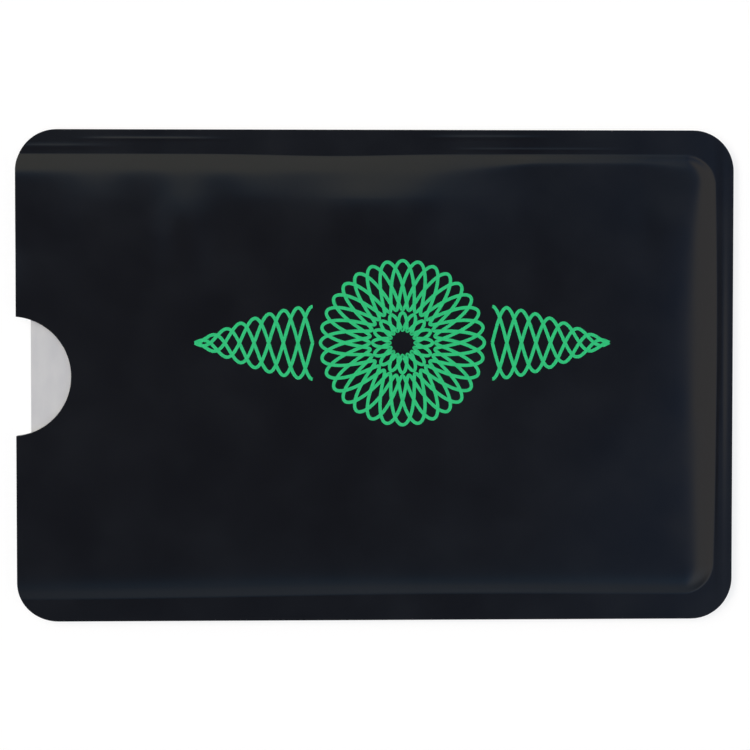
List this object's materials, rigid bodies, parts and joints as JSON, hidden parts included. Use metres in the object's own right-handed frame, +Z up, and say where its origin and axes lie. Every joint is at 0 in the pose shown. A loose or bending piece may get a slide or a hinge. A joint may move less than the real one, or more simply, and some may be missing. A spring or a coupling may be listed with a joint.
{
  "type": "rfid card sleeve",
  "caption": "Flat rectangular shielding sleeve of black foil laminate, heat-sealed on three sides, with a half-round thumb notch in its open end and a contactless card sliding inside.",
  "frame": {"origin": "centre of the sleeve's footprint, on the surface that its back panel lies on", "axes": "+X along the sleeve's length from the open mouth to the closed end, +Y across its width, +Z up out of the front panel"},
  "size_m": [0.091, 0.0624, 0.0016],
  "materials": {
    "gloss_film": "black printed polyester film, high gloss",
    "paper_ply": "uncoated white carrier paper",
    "shield_foil": "rolled aluminium foil, bright side out",
    "sealing_film": "milky polyethylene sealing film over foil",
    "fused_seal": "fused polyethylene",
    "card_overlay": "satin silver-grey pvc overlay",
    "card_core": "white pvc core sheet",
    "antenna_metal": "etched aluminium track",
    "chip_module": "black moulded chip module"
  },
  "bodies": {
    "sleeve": {"front_gloss_film": "gloss_film", "front_paper_ply": "paper_ply", "front_shield_foil": "shield_foil", "front_sealing_film": "sealing_film", "back_gloss_film": "gloss_film", "back_paper_ply": "paper_ply", "back_shield_foil": "shield_foil", "back_sealing_film": "sealing_film", "upper_side_seal": "fused_seal", "lower_side_seal": "fused_seal", "closed_end_seal": "fused_seal"},
    "card": {"card_front_overlay": "card_overlay", "card_front_core": "card_core", "card_antenna": "antenna_metal", "card_chip": "chip_module", "card_back_core": "card_core", "card_back_overlay": "card_overlay"}
  },
  "joints": [
    {"name": "card_slide", "type": "slide", "parent": "sleeve", "child": "card", "axis": [-1, 0, 0], "range_m": [0, 0.088]}
  ]
}
